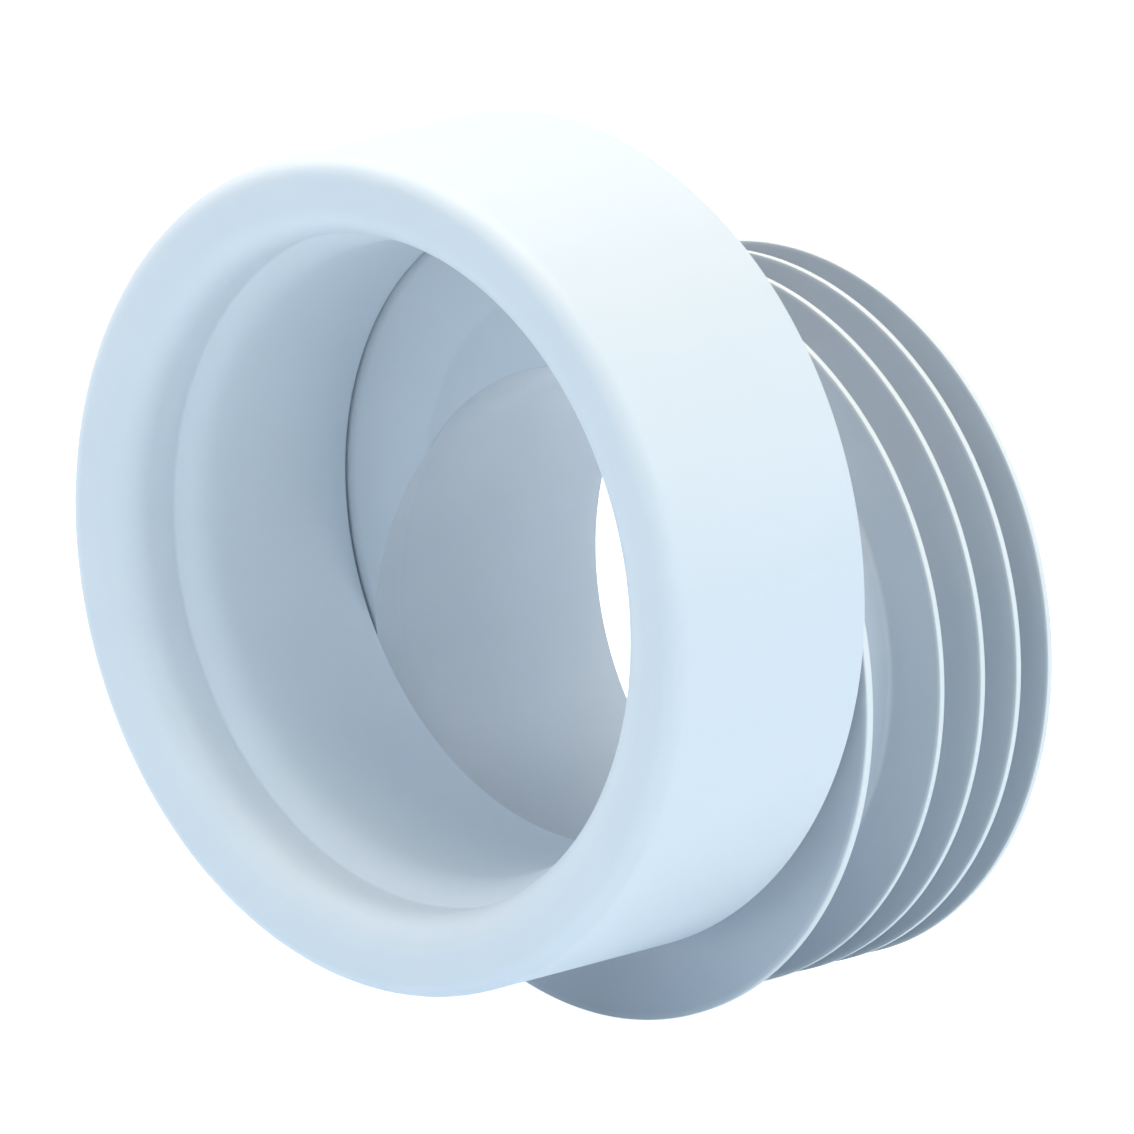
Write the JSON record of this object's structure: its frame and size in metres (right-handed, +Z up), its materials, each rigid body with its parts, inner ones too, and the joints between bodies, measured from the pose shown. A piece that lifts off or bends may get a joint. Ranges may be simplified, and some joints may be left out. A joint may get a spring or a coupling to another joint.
{
  "type": "toilet pan connector",
  "caption": "Offset toilet pan connector: a soft round-lipped inlet seal grips the pan outlet and a finned spigot seals inside the soil pipe, with the outlet set lower.",
  "frame": {"origin": "on the inlet axis, where the straight grip of the inlet seal starts behind its shoulder", "axes": "+Y along both axes, from the pan towards the soil pipe; +Z up, with the outlet axis 20 mm below the inlet axis; +X across"},
  "size_m": [0.13, 0.0936, 0.1428],
  "materials": {
    "body_plastic": "cool white moulded plastic with a soft satin gloss",
    "seal_rubber": "cool white soft rubber, smooth and dull with a faint sheen"
  },
  "bodies": {
    "root": {"connector_body": "body_plastic", "inlet_seal": "seal_rubber"}
  },
  "joints": []
}
